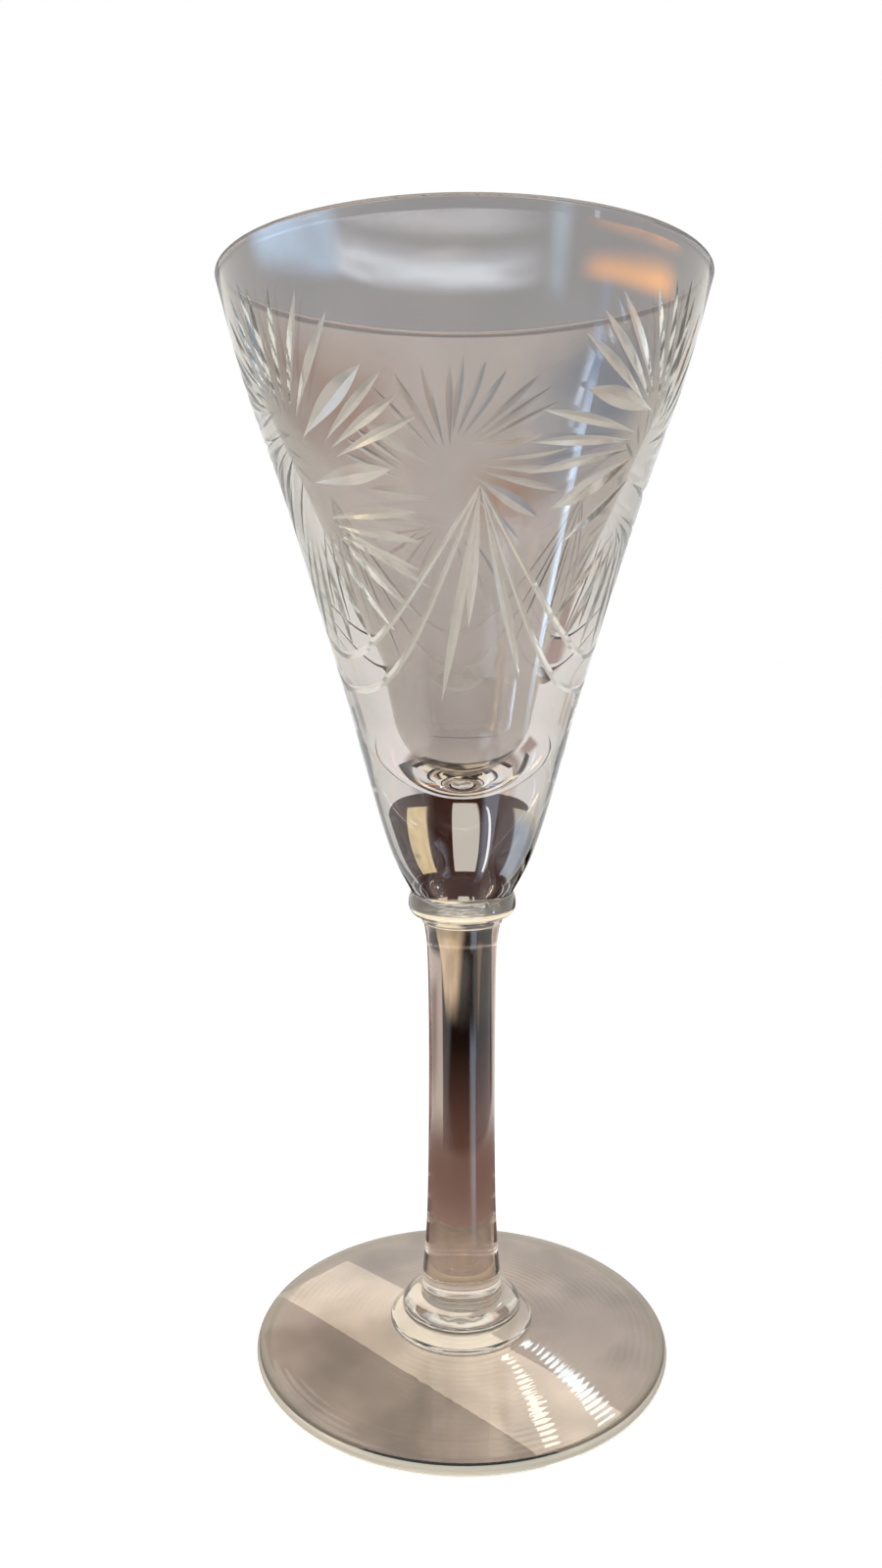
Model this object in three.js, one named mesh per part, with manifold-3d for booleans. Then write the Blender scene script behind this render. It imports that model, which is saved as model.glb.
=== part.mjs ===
// A stemmed drinking goblet of clear cut lead crystal.
//
// Five gathers of glass are shaped hot and stacked on one axis: a foot, a stepped knop,
// a drawn stem, a collar and a bowl with a thick solid base. Each has a flat end face, and
// the end faces meet. The bowl's wall carries the wheel-cut decoration: three palms of
// long mitre cuts and broad leaves, with a tassel of mitre cuts and two hanging swags
// between each palm and the next.
//
// Millimetres, +Z up, origin at the centre of the foot's underside. The first tassel hangs
// on the side that faces -Y, turned about +Z by PATTERN_TURN.

import * as THREE from 'three';
import { mergeVertices } from 'three/addons/utils/BufferGeometryUtils.js';
import Module from 'manifold-3d';

// Foot: a thin round disc that swells to the middle, with a shallow hollow underneath.
const FOOT_RADIUS = 35.9;
const FOOT_EDGE_THICKNESS = 2.2;
const FOOT_CROWN_HEIGHT = 4.0;
const FOOT_REST_WIDTH = 6.0;
const FOOT_REST_INSET = 2.4;
const FOOT_HOLLOW_DEPTH = 0.8;
const FOOT_HOLLOW_SHARE = 0.75;
const FOOT_SHOULDER_WIDTH = 1.5;
const FOOT_SHOULDER_DROP = 0.2;

// Knop: a low flat ring with a rounded bulge on it.
const KNOP_RING_RADIUS = 12.5;
const KNOP_RING_HEIGHT = 1.4;
const KNOP_BULGE_RADIUS = 10.4;
const KNOP_BULGE_HEIGHT = 3.6;

// Stem: a drawn rod that flares a little at both ends.
const STEM_LENGTH = 66.7;
const STEM_RADIUS = 6.0;
const STEM_FOOT_RADIUS = 7.1;
const STEM_HEAD_RADIUS = 6.5;
const STEM_FOOT_FLARE = 16.0;
const STEM_HEAD_FLARE = 4.0;

// Collar: a small bead with a wide rounded ring on it.
const COLLAR_BEAD_RADIUS = 6.85;
const COLLAR_BEAD_HEIGHT = 1.2;
const COLLAR_RING_RADIUS = 9.1;
const COLLAR_RING_HEIGHT = 4.3;

// Bowl: outer radii at named levels above the bowl's flat lower end.
const NECK_RADIUS = 8.6;
const SHOULDER_RADIUS = 11.9;
const SHOULDER_LEVEL = 6.6;
const BASE_RADIUS = 20.2;
const BASE_LEVEL = 35.8;
const BELLY_RADIUS = 29.6;
const BELLY_LEVEL = 66.8;
const UPPER_RADIUS = 35.1;
const UPPER_LEVEL = 82.8;
const RIM_RADIUS = 39.1;
const BOWL_HEIGHT = 98.8;

// Hollow of the bowl: the wall thickens from the rim down to a rounded bottom.
const RIM_WALL = 1.4;
const BASE_WALL = 8.0;
const WALL_SWELL = 1.7;
const CAVITY_FLOOR_LEVEL = 17.8;
const CAVITY_ROUND_HEIGHT = 17.0;

// Cut pattern, repeated round the bowl.
const REPEATS = 3;
const PATTERN_TURN = 4.8;
const CUT_CLEARANCE = 0.3;
const RAY_FULLNESS = 1.3;
const SWAG_FULLNESS = 1.0;
const MITRE_SLOPE = 0.55;
const LEAF_SLOPE = 0.3;

// Palms: fans of mitre cuts and four broad leaves. A fan's node and a leaf's node are
// heights above the palm's centre; angles are in degrees from straight up, plus to the
// right; root and tip are distances from the node along the wall.
const PALM_LEVEL = 68.6;
const RAY_WIDTH = 1.5;
const LEAF_WIDTH = 2.9;
const FANS = [
  { node: 2.0, first: -1, step: 14.6, rays: 4, root: 4.0, tip: 22.6 },
  { node: 4.5, first: -8.5, step: -12, rays: 3, root: 4.0, tip: 22.0 },
  { node: 4.5, first: -47.6, step: -8.5, rays: 3, root: 6.0, tip: 25.0 },
  { node: 3.2, first: -86, step: -10, rays: 3, root: 6.0, tip: 25.0 },
  { node: 1.2, first: -134, step: -12, rays: 1, root: 5.0, tip: 20.5 },
  { node: -3.3, first: 57, step: 7.8, rays: 3, root: 9.5, tip: 25.0 },
  { node: -8.5, first: 90, step: 12.5, rays: 3, root: 4.0, tip: 20.0 },
  { node: -5.0, first: 128, step: 12, rays: 8, root: 6.0, tip: 24.0 },
];
const LEAVES = [
  { node: 0.7, angle: 60, root: 4.0, tip: 21.0 },
  { node: -3.6, angle: 87, root: 3.0, tip: 18.0 },
  { node: 6.8, angle: -86, root: 3.0, tip: 19.3 },
  { node: 3.5, angle: -123, root: 5.5, tip: 22.0 },
];

// Tassels: mitre cuts that hang from one point between two palms.
const TASSEL_LEVEL = 63.6;
const TASSEL = [
  { angle: 166, tip: 29.5 },
  { angle: 183, tip: 20.7 },
  { angle: 188.5, tip: 32.5 },
];

// Swags: two hanging curves from one tassel to the next.
const SWAG_WIDTH = 1.2;
const SWAG_DROPS = [23.8, 29.2];
const SWAG_POWERS = [2.0, 2.6];

// Faceting.
const ROUND_SEGMENTS = 48;
const WALL_SAMPLES = 50;
const WALL_STRIDE = 5;
const WALL_STEPS = 7;
const ROUND_STEPS = 4;
const STEM_STEPS = 10;
const RAY_STEPS = 4;
const SWAG_STEPS = 16;

const MERGE_TOLERANCE = 0.0001;
const POLISH = 0.05;
const radians = THREE.MathUtils.degToRad;

// Levels of the end faces where the pieces meet.
const KNOP_Z = FOOT_CROWN_HEIGHT;
const STEM_Z = KNOP_Z + KNOP_RING_HEIGHT + KNOP_BULGE_HEIGHT;
const COLLAR_Z = STEM_Z + STEM_LENGTH;
const BOWL_Z = COLLAR_Z + COLLAR_BEAD_HEIGHT + COLLAR_RING_HEIGHT;

// Rise for each millimetre up the bowl's wall, which leans out.
const WALL_LEAN = Math.cos(Math.atan2(BELLY_RADIUS - BASE_RADIUS, BELLY_LEVEL - BASE_LEVEL));

// Level in the bowl where the rounded bottom of the hollow runs into the straight wall.
const CAVITY_JOIN_LEVEL = CAVITY_FLOOR_LEVEL + CAVITY_ROUND_HEIGHT;

function point(radius, height) {
  return new THREE.Vector2(radius, height);
}

// Part of an ellipse round (radius, height), from angle to angle in degrees, where 0 is
// straight out and 90 is straight up.
function arc(radius, height, across, up, from, to) {
  const points = [];
  for (let step = 0; step <= ROUND_STEPS; step += 1) {
    const angle = radians(from + ((to - from) * step) / ROUND_STEPS);
    points.push(point(radius + across * Math.cos(angle), height + up * Math.sin(angle)));
  }
  return points;
}

// A solid of revolution round +Z from a profile of radii and heights.
function turned(profile) {
  return new THREE.LatheGeometry(profile, ROUND_SEGMENTS).rotateX(Math.PI / 2);
}

// The outer wall of the bowl as a smooth curve through its named levels.
const wallPoints = new THREE.CatmullRomCurve3([
  new THREE.Vector3(NECK_RADIUS, 0, 0),
  new THREE.Vector3(SHOULDER_RADIUS, SHOULDER_LEVEL, 0),
  new THREE.Vector3(BASE_RADIUS, BASE_LEVEL, 0),
  new THREE.Vector3(BELLY_RADIUS, BELLY_LEVEL, 0),
  new THREE.Vector3(UPPER_RADIUS, UPPER_LEVEL, 0),
  new THREE.Vector3(RIM_RADIUS, BOWL_HEIGHT - RIM_WALL / 2, 0),
]).getPoints(WALL_SAMPLES);

// Radius of the outer wall at a level above the bowl's lower end.
function wallRadius(level) {
  let above = wallPoints.findIndex((sample) => sample.y >= level);
  if (above < 1) {
    above = level <= 0 ? 1 : wallPoints.length - 1;
  }
  const lower = wallPoints[above - 1];
  const upper = wallPoints[above];
  return THREE.MathUtils.mapLinear(level, lower.y, upper.y, lower.x, upper.x);
}

// Radius of the hollow at a level: the outer radius less a wall that thickens downwards.
function cavityRadius(level) {
  const depth = (BOWL_HEIGHT - level) / (BOWL_HEIGHT - CAVITY_JOIN_LEVEL);
  return wallRadius(level) - RIM_WALL - (BASE_WALL - RIM_WALL) * Math.max(depth, 0) ** WALL_SWELL;
}

function footGeometry() {
  const edge = FOOT_EDGE_THICKNESS / 2;
  const restOuter = FOOT_RADIUS - FOOT_REST_INSET;
  const restInner = restOuter - FOOT_REST_WIDTH;
  return turned([
    point(0, FOOT_HOLLOW_DEPTH),
    point(restInner / 2, FOOT_HOLLOW_DEPTH * FOOT_HOLLOW_SHARE),
    point(restInner, 0),
    point(restOuter, 0),
    ...arc(FOOT_RADIUS - edge, edge, edge, edge, -60, 70),
    point(KNOP_RING_RADIUS + FOOT_SHOULDER_WIDTH, FOOT_CROWN_HEIGHT - FOOT_SHOULDER_DROP),
    point(KNOP_RING_RADIUS, FOOT_CROWN_HEIGHT),
    point(0, FOOT_CROWN_HEIGHT),
  ]);
}

function knopGeometry() {
  const ring = KNOP_RING_HEIGHT / 2;
  const bulge = KNOP_BULGE_HEIGHT / 2;
  const bulgeDepth = KNOP_BULGE_RADIUS - STEM_FOOT_RADIUS;
  return turned([
    point(0, 0),
    ...arc(KNOP_RING_RADIUS - ring, ring, ring, ring, -90, 90),
    ...arc(STEM_FOOT_RADIUS, KNOP_RING_HEIGHT + bulge, bulgeDepth, bulge, -60, 90),
    point(0, KNOP_RING_HEIGHT + KNOP_BULGE_HEIGHT),
  ]);
}

function stemGeometry() {
  const rod = new THREE.CatmullRomCurve3([
    new THREE.Vector3(STEM_FOOT_RADIUS, 0, 0),
    new THREE.Vector3(STEM_RADIUS, STEM_FOOT_FLARE, 0),
    new THREE.Vector3(STEM_RADIUS, STEM_LENGTH - STEM_HEAD_FLARE, 0),
    new THREE.Vector3(STEM_HEAD_RADIUS, STEM_LENGTH, 0),
  ]);
  return turned([point(0, 0), ...rod.getPoints(STEM_STEPS), point(0, STEM_LENGTH)]);
}

function collarGeometry() {
  const bead = COLLAR_BEAD_HEIGHT / 2;
  const ring = COLLAR_RING_HEIGHT / 2;
  const middle = COLLAR_BEAD_HEIGHT + ring;
  const under = COLLAR_RING_RADIUS - COLLAR_BEAD_RADIUS;
  const over = COLLAR_RING_RADIUS - NECK_RADIUS;
  return turned([
    point(0, 0),
    ...arc(STEM_HEAD_RADIUS, bead, COLLAR_BEAD_RADIUS - STEM_HEAD_RADIUS, bead, -90, 60),
    ...arc(COLLAR_BEAD_RADIUS, middle, under, ring, -80, 0),
    ...arc(NECK_RADIUS, middle, over, ring, 15, 90),
    point(0, COLLAR_BEAD_HEIGHT + COLLAR_RING_HEIGHT),
  ]);
}

function bowlGeometry() {
  const lip = RIM_WALL / 2;
  const levels = [];
  for (let step = 1; step < WALL_STEPS; step += 1) {
    const share = step / WALL_STEPS;
    levels.push(THREE.MathUtils.lerp(BOWL_HEIGHT - lip, CAVITY_JOIN_LEVEL, share));
  }
  const joinRadius = cavityRadius(CAVITY_JOIN_LEVEL);
  const bottom = arc(0, CAVITY_JOIN_LEVEL, joinRadius, CAVITY_ROUND_HEIGHT, -15, -90);
  return turned([
    point(0, 0),
    ...wallPoints.filter((sample, index) => index % WALL_STRIDE === 0),
    ...arc(RIM_RADIUS - lip, BOWL_HEIGHT - lip, lip, lip, 0, 180).slice(1),
    ...levels.map((level) => point(cavityRadius(level), level)),
    ...bottom,
  ]);
}

// A place on the outer wall: azimuth in degrees from -Y towards +X, level, and lift off it.
function wallPlace(azimuth, level, lift) {
  const angle = radians(azimuth);
  const slope = wallRadius(level + 1) - wallRadius(level);
  const across = lift / Math.hypot(1, slope);
  const radius = wallRadius(level) + across;
  return new THREE.Vector3(radius * Math.sin(angle), -radius * Math.cos(angle), level - slope * across);
}

// A wheel cut along a path on the wall, as the closed body of glass that the wheel takes
// away. path(share) gives azimuth and level for a share of 0 to 1 of the cut's length.
function wheelCut(path, steps, width, slope, fullness) {
  const positions = [];
  const place = (share, lift) => wallPlace(...path(share), lift);
  for (let step = 0; step <= steps; step += 1) {
    const share = step / steps;
    const nudge = 0.5 / steps;
    const centre = place(share, 0);
    const ahead = place(share + nudge, 0).sub(place(share - nudge, 0)).normalize();
    const outward = place(share, 1).sub(centre).normalize();
    const side = new THREE.Vector3().crossVectors(outward, ahead);
    const half = (width / 2) * Math.sin(Math.PI * share ** fullness);
    const depth = half * slope - (step % steps === 0 ? CUT_CLEARANCE / 2 : 0);
    const top = half + CUT_CLEARANCE / slope;
    const crest = centre.clone().addScaledVector(outward, CUT_CLEARANCE);
    positions.push(crest.clone().addScaledVector(side, -top));
    positions.push(crest.clone().addScaledVector(side, top));
    positions.push(centre.clone().addScaledVector(outward, -depth));
  }
  const index = [0, 1, 2];
  for (let step = 0; step < steps; step += 1) {
    for (let corner = 0; corner < 3; corner += 1) {
      const near = 3 * step + corner;
      const nearNext = 3 * step + ((corner + 1) % 3);
      index.push(near, near + 3, nearNext, nearNext, near + 3, nearNext + 3);
    }
  }
  const last = 3 * steps;
  index.push(last, last + 2, last + 1);
  return new THREE.BufferGeometry().setFromPoints(positions).setIndex(index);
}

// A straight cut from a node on the wall: angle in degrees from straight up, root and tip
// as distances along the unrolled wall.
function rayCut(azimuth, level, angle, root, tip, width, slope) {
  const path = (share) => {
    const reach = THREE.MathUtils.lerp(root, tip, share);
    const height = level + reach * Math.cos(radians(angle)) * WALL_LEAN;
    const aside = reach * Math.sin(radians(angle));
    return [azimuth + THREE.MathUtils.radToDeg(aside / wallRadius(height)), height];
  };
  return wheelCut(path, RAY_STEPS, width, slope, RAY_FULLNESS);
}

function palmCuts(azimuth) {
  const cuts = [];
  for (const { node, first, step, rays, root, tip } of FANS) {
    for (let ray = 0; ray < rays; ray += 1) {
      const angle = first + ray * step;
      cuts.push(rayCut(azimuth, PALM_LEVEL + node, angle, root, tip, RAY_WIDTH, MITRE_SLOPE));
    }
  }
  for (const { node, angle, root, tip } of LEAVES) {
    cuts.push(rayCut(azimuth, PALM_LEVEL + node, angle, root, tip, LEAF_WIDTH, LEAF_SLOPE));
  }
  return cuts;
}

function tasselCuts(azimuth) {
  return TASSEL.map(({ angle, tip }) =>
    rayCut(azimuth, TASSEL_LEVEL, angle, 0, tip, RAY_WIDTH, MITRE_SLOPE));
}

// Curves that hang from the tassel at azimuth to the next tassel.
function swagCuts(azimuth) {
  const span = 360 / REPEATS;
  return SWAG_DROPS.map((drop, swag) => {
    const path = (share) => {
      const rise = drop * Math.abs(1 - 2 * share) ** SWAG_POWERS[swag];
      return [azimuth + span * share, TASSEL_LEVEL - drop + rise];
    };
    return wheelCut(path, SWAG_STEPS, SWAG_WIDTH, MITRE_SLOPE, SWAG_FULLNESS);
  });
}

// The triangles of a geometry with equal corners joined and empty triangles left out.
function joined(geometry) {
  const bare = geometry.clone();
  bare.deleteAttribute('normal');
  bare.deleteAttribute('uv');
  const merged = mergeVertices(bare, MERGE_TOLERANCE);
  const corners = merged.index.array;
  const kept = [];
  for (let first = 0; first < corners.length; first += 3) {
    const [a, b, c] = corners.slice(first, first + 3);
    if (a !== b && b !== c && c !== a) {
      kept.push(a, b, c);
    }
  }
  merged.setIndex(kept);
  return merged;
}

function solidOf(library, geometry) {
  const shell = joined(geometry);
  return new library.Manifold(new library.Mesh({
    numProp: 3,
    vertProperties: new Float32Array(shell.attributes.position.array),
    triVerts: new Uint32Array(shell.index.array),
  }));
}

function geometryOf(solid) {
  const mesh = solid.getMesh();
  const geometry = new THREE.BufferGeometry();
  geometry.setAttribute('position', new THREE.BufferAttribute(mesh.vertProperties, 3));
  geometry.setIndex(new THREE.BufferAttribute(mesh.triVerts, 1));
  geometry.computeVertexNormals();
  return geometry;
}

async function cutBowlGeometry() {
  const library = await Module();
  library.setup();
  let bowl = solidOf(library, bowlGeometry());
  for (let repeat = 0; repeat < REPEATS; repeat += 1) {
    const azimuth = PATTERN_TURN + (360 * repeat) / REPEATS;
    const cuts = [
      ...palmCuts(azimuth + 180 / REPEATS),
      ...tasselCuts(azimuth),
      ...swagCuts(azimuth),
    ];
    for (const cut of cuts) {
      bowl = bowl.subtract(solidOf(library, cut));
    }
  }
  return geometryOf(bowl);
}

function glass(colour, roughness) {
  return new THREE.MeshStandardMaterial({
    color: colour,
    roughness,
    metalness: 0,
    transparent: true,
    opacity: 0.4,
  });
}

function piece(name, geometry, colour, height) {
  const mesh = new THREE.Mesh(geometry, glass(colour, POLISH));
  mesh.name = name;
  mesh.position.z = height;
  return mesh;
}

const group = new THREE.Group();
group.add(
  piece('foot', footGeometry(), '#b8b0a6', 0),
  piece('foot_knop', knopGeometry(), '#a89b8c', KNOP_Z),
  piece('stem', stemGeometry(), '#8c7a68', STEM_Z),
  piece('collar', collarGeometry(), '#c9bfae', COLLAR_Z),
  piece('bowl', await cutBowlGeometry(), '#b4ada8', BOWL_Z),
);

export default group;
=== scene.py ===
"""A stemmed goblet of cut lead crystal, dressed on the frame of its solids.

Every piece is a surface of revolution worked out with numpy. The bowl's outer wall is
unrolled, cut by the wheel-cut pattern and rolled up again. Sizes are in millimetres in
the classes and in metres in the meshes.
"""
from __future__ import annotations

import logging
import math
from dataclasses import dataclass, field
from enum import Enum
from functools import partial
from typing import Callable, ClassVar

import bmesh
import bpy
import numpy as np
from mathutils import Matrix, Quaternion, Vector, geometry

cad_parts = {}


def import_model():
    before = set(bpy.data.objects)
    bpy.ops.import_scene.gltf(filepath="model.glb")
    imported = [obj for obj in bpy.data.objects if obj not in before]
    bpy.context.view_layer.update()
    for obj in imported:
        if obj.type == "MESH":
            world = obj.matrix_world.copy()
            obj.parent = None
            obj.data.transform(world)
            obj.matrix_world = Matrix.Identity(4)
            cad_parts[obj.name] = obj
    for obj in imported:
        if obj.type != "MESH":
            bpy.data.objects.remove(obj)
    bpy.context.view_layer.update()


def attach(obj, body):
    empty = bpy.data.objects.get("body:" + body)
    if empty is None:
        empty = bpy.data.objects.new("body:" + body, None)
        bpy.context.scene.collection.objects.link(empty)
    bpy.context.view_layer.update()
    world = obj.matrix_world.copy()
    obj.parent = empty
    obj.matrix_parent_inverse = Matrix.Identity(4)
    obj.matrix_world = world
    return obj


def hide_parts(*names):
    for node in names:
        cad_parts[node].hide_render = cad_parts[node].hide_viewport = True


LOG = logging.getLogger("goblet")
MM = 0.001
GOBLET_MIDDLE = (0.0, 0.0, 90.0)
SLOPE_FRONT = (30.0, 102.1)  # y and height in mm at the front of the base's sloping cards
SLOPE_FALL = 0.23  # mm by which they fall for each mm towards the back
SEAM = 0.01  # mm by which a fused face lies inside its end of the solid
NOISE_SPAN = {"From Min": 0.35, "From Max": 0.6}  # where most of a noise's values lie
SMOOTH = {"interpolation_type": "SMOOTHSTEP"}
WHITE = (1.0, 1.0, 1.0, 1.0)
Array = np.ndarray
Material, Mesh, Object = bpy.types.Material, bpy.types.Mesh, bpy.types.Object
Node, Socket, Tree = bpy.types.Node, bpy.types.NodeSocket, bpy.types.NodeTree
Adder = Callable[..., Node]
Place = tuple[float, float]
Corner = tuple[float, float, float]


class Surface(Enum):
    """Which finish a face takes; the value is the material slot's index on the piece."""

    POLISHED = 0
    FUSED = 1
    WHEEL_CUT = 2


def linear(hex_colour: str) -> tuple[float, float, float, float]:
    """Turns an sRGB hex colour into linear RGBA.

    Args:
        hex_colour: Six hex digits after a #.

    Returns:
        Linear red, green and blue with alpha 1.
    """
    parts = np.array([int(hex_colour[i:i + 2], 16) for i in (1, 3, 5)]) / 255.0
    flat = np.where(parts <= 0.04045, parts / 12.92, ((parts + 0.055) / 1.055) ** 2.4)
    return (*(float(v) for v in flat), 1.0)


def add_node(tree: Tree, kind: str, settings: dict | None = None,
             links: dict | None = None) -> Node:
    """Adds a node with its settings and its incoming links.

    Args:
        tree: The node tree.
        kind: The node's type name, without its first word ShaderNode.
        settings: Values for properties, and for inputs where the key is an input's name or
            number.
        links: From input name or number to the output socket that feeds it, or to the node
            whose first output does.

    Returns:
        The new node.
    """
    node = tree.nodes.new(f"ShaderNode{kind}")
    for name, value in (settings or {}).items():
        if isinstance(name, int) or name in node.inputs:
            node.inputs[name].default_value = value
        else:
            setattr(node, name, value)
    for name, source in (links or {}).items():
        socket = source.outputs[0] if isinstance(source, Node) else source
        tree.links.new(socket, node.inputs[name])
    return node


def new_material(name: str) -> tuple[Material, Adder]:
    """Makes an empty material.

    Args:
        name: The material's name.

    Returns:
        The material and the function that adds a node to it.
    """
    material = bpy.data.materials.new(name)
    material.use_nodes = True
    material.node_tree.nodes.clear()
    return material, partial(add_node, material.node_tree)


@dataclass
class Finish:
    """A finish of a piece of glass. Its nodes read the point on the piece."""

    name: str
    ior: float = 1.545
    add: Adder = field(init=False)
    place: Socket = field(init=False)

    def build(self) -> Material:
        """Builds the material round the finish's surface.

        Returns:
            The material.
        """
        material, self.add = new_material(self.name)
        self.place = self.add("TexCoord").outputs["Object"]
        self.add("OutputMaterial", None, {"Surface": self.surface()})
        return material

    def surface(self) -> Node:
        """The shader of the finish."""
        raise NotImplementedError


@dataclass
class LeadCrystal(Finish):
    """Lead crystal, drawn and blown hot, then fire-polished.

    The melt leaves a clear glass of a warm smoky shade, which deepens with each wall that
    the eye looks through, and long soft ripples, so straight edges seen through it waver a
    little. Wiping marks leave soft patches in its gloss.
    """

    tint: str = "#D4CDC8"
    clear: float = 1.0
    polish: float = 0.012
    wiped: float = 0.05
    unevenness: float = 0.16
    wiping_mm: float = 14.0
    wiping_from: float = 0.45
    wiping_full: float = 0.75
    ripple_mm: float = 14.0
    ripple_height_mm: float = 0.02

    def surface(self) -> Node:
        """A refracting surface, tinted half on the way in and half on the way out.

        Returns:
            The shader.
        """
        return self.add("BsdfPrincipled",
                        {"IOR": self.ior, "Transmission Weight": self.clear},
                        {"Base Color": self.colour(), "Roughness": self.gloss(),
                         "Normal": self.relief()})

    def colour(self) -> Socket:
        """The tint, a shade deeper in cords of the melt as wide as three ripples.

        Returns:
            The colour.
        """
        cords = self.add("TexNoise", {"Scale": 1.0 / (3 * self.ripple_mm * MM),
                                      "Detail": 2.0}, {"Vector": self.place})
        share = self.add("MapRange", NOISE_SPAN, {"Value": cords})
        deeper = [channel * (1 - self.unevenness) for channel in linear(self.tint)[:3]] + [1.0]
        mix = self.add("Mix", {"data_type": "RGBA", 6: deeper, 7: linear(self.tint)},
                       {0: share})
        return mix.outputs[2]

    def blend(self, plain: Socket, other: str, share: Node) -> Socket:
        """Blends the tint's colour with another one, given in sRGB hex, by its share."""
        mix = self.add("Mix", {"data_type": "RGBA", 7: linear(other)}, {0: share, 6: plain})
        return mix.outputs[2]

    def gloss(self) -> Node:
        """Roughness: polished, with hazier patches where a cloth wiped it.

        Returns:
            The node that gives the roughness.
        """
        marks = self.add("TexNoise", {"Scale": 1.0 / (self.wiping_mm * MM),
                                      "Detail": 3.0}, {"Vector": self.place})
        return self.add("MapRange", {"From Min": self.wiping_from, "From Max": self.wiping_full,
                                     "To Min": self.polish, "To Max": self.wiped},
                        {"Value": marks})

    def relief(self) -> Node:
        """The long ripples of the melt, as a bump.

        Returns:
            The bump.
        """
        ripple = self.add("TexNoise", {"Scale": 1.0 / (self.ripple_mm * MM),
                                       "Detail": 1.0}, {"Vector": self.place})
        return self.add("Bump", {"Strength": 1.0, "Distance": self.ripple_height_mm * MM},
                        {"Height": ripple})


@dataclass
class BlownCrystal(LeadCrystal):
    """Lead crystal of the bowl. At its outline the eye looks along the wall through much
    glass, and the melt shows its faint straw green there."""

    edge_tint: str = "#ADA88C"
    edge_from: float = 0.35
    edge_full: float = 0.95

    def colour(self) -> Socket:
        """The tint, blended with the straw green one as the wall turns from the eye.

        Returns:
            The colour.
        """
        plain = super().colour()
        turned = self.add("LayerWeight", {"Blend": 0.5})
        share = self.add("MapRange", {"From Min": self.edge_from, "From Max": self.edge_full},
                         {"Value": turned.outputs["Facing"]})
        return self.blend(plain, self.edge_tint, share)


@dataclass
class StemCrystalPaintedShade(LeadCrystal):
    """Lead crystal of the stem. Its smokier tint is painted shade for the dark room seen
    through it; the shade runs out where the stem flares into the foot, and there the glass is
    painted paler, as painted light for the pale floor it shows."""

    # Painted light: the paler tint where the stem flares into the foot.
    painted_light_tint: str = "#E9DCD0"
    low_full_mm: float = 15.0
    low_from_mm: float = 26.0

    def colour(self) -> Socket:
        """The tint of painted shade, blended by height with the paler one of painted light.

        Returns:
            The colour.
        """
        plain = super().colour()
        height = self.add("SeparateXYZ", None, {"Vector": self.place})
        share = self.add("MapRange", {"From Min": self.low_from_mm * MM,
                                      "From Max": self.low_full_mm * MM, **SMOOTH},
                         {"Value": height.outputs["Z"]})
        return self.blend(plain, self.painted_light_tint, share)


@dataclass
class SpunCrystal(LeadCrystal):
    """Lead crystal of the foot, spun out with a wooden tool that left faint rings round
    the middle; a small lamp in it shows as a ribbed streak."""

    ring_mm: float = 1.2
    ring_height_mm: float = 0.007

    def relief(self) -> Node:
        """Rings round the foot's axis over the melt's ripples. The wave texture has one
        ring in each 2 pi / (20 scale) metres.

        Returns:
            The bump.
        """
        rings = self.add("TexWave",
                         {"wave_type": "RINGS", "rings_direction": "Z",
                          "Scale": 2 * math.pi / (20 * self.ring_mm * MM),
                          "Distortion": 0.6, "Detail": 1.0}, {"Vector": self.place})
        return self.add("Bump", {"Strength": 1.0, "Distance": self.ring_height_mm * MM},
                        {"Height": rings.outputs["Fac"], "Normal": super().relief()})


@dataclass
class WheelCut(Finish):
    """Crystal cut with a stone wheel and brought to a satin polish.

    Fine wheel lines across each cut scatter the light, so a cut looks pale and soft with
    one bright edge. The grain is drawn coarser than the stone's, so that it shows.
    """

    tint: str = "#EEECE0"
    clear: float = 0.82
    roughness: float = 0.17
    grain_mm: float = 0.35
    grain_height_mm: float = 0.02

    def surface(self) -> Node:
        """A rough refracting surface, partly white from the stone's grain.

        Returns:
            The shader.
        """
        grain = self.add("TexNoise", {"Scale": 1.0 / (self.grain_mm * MM),
                                      "Detail": 2.0}, {"Vector": self.place})
        bump = self.add("Bump", {"Strength": 1.0, "Distance": self.grain_height_mm * MM},
                        {"Height": grain})
        return self.add("BsdfPrincipled",
                        {"Base Color": linear(self.tint), "Roughness": self.roughness,
                         "IOR": self.ior, "Transmission Weight": self.clear},
                        {"Normal": bump})


@dataclass
class FusedJoint(Finish):
    """The inside of a joint where two gathers were fused hot: glass meets glass, so
    light passes straight on."""

    def surface(self) -> Node:
        """Fully transparent, with no change of direction."""
        return self.add("BsdfTransparent", {"Color": WHITE})


def arc(radius: float, height: float, across: float, up: float, start: float, end: float,
        steps: int = 16) -> Array:
    """Part of an ellipse: (radius + across cos a, height + up sin a) for a from start to
    end in degrees.

    Args:
        radius: Radius of the centre in mm.
        height: Height of the centre in mm.
        across: Half-width in mm.
        up: Half-height in mm.
        start: First angle in degrees, 0 straight out and 90 straight up.
        end: Last angle in degrees.
        steps: Number of steps.

    Returns:
        An array of (radius, height) rows.
    """
    angle = np.radians(np.linspace(start, end, steps + 1))
    return np.stack([radius + across * np.cos(angle), height + up * np.sin(angle)], -1)


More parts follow.
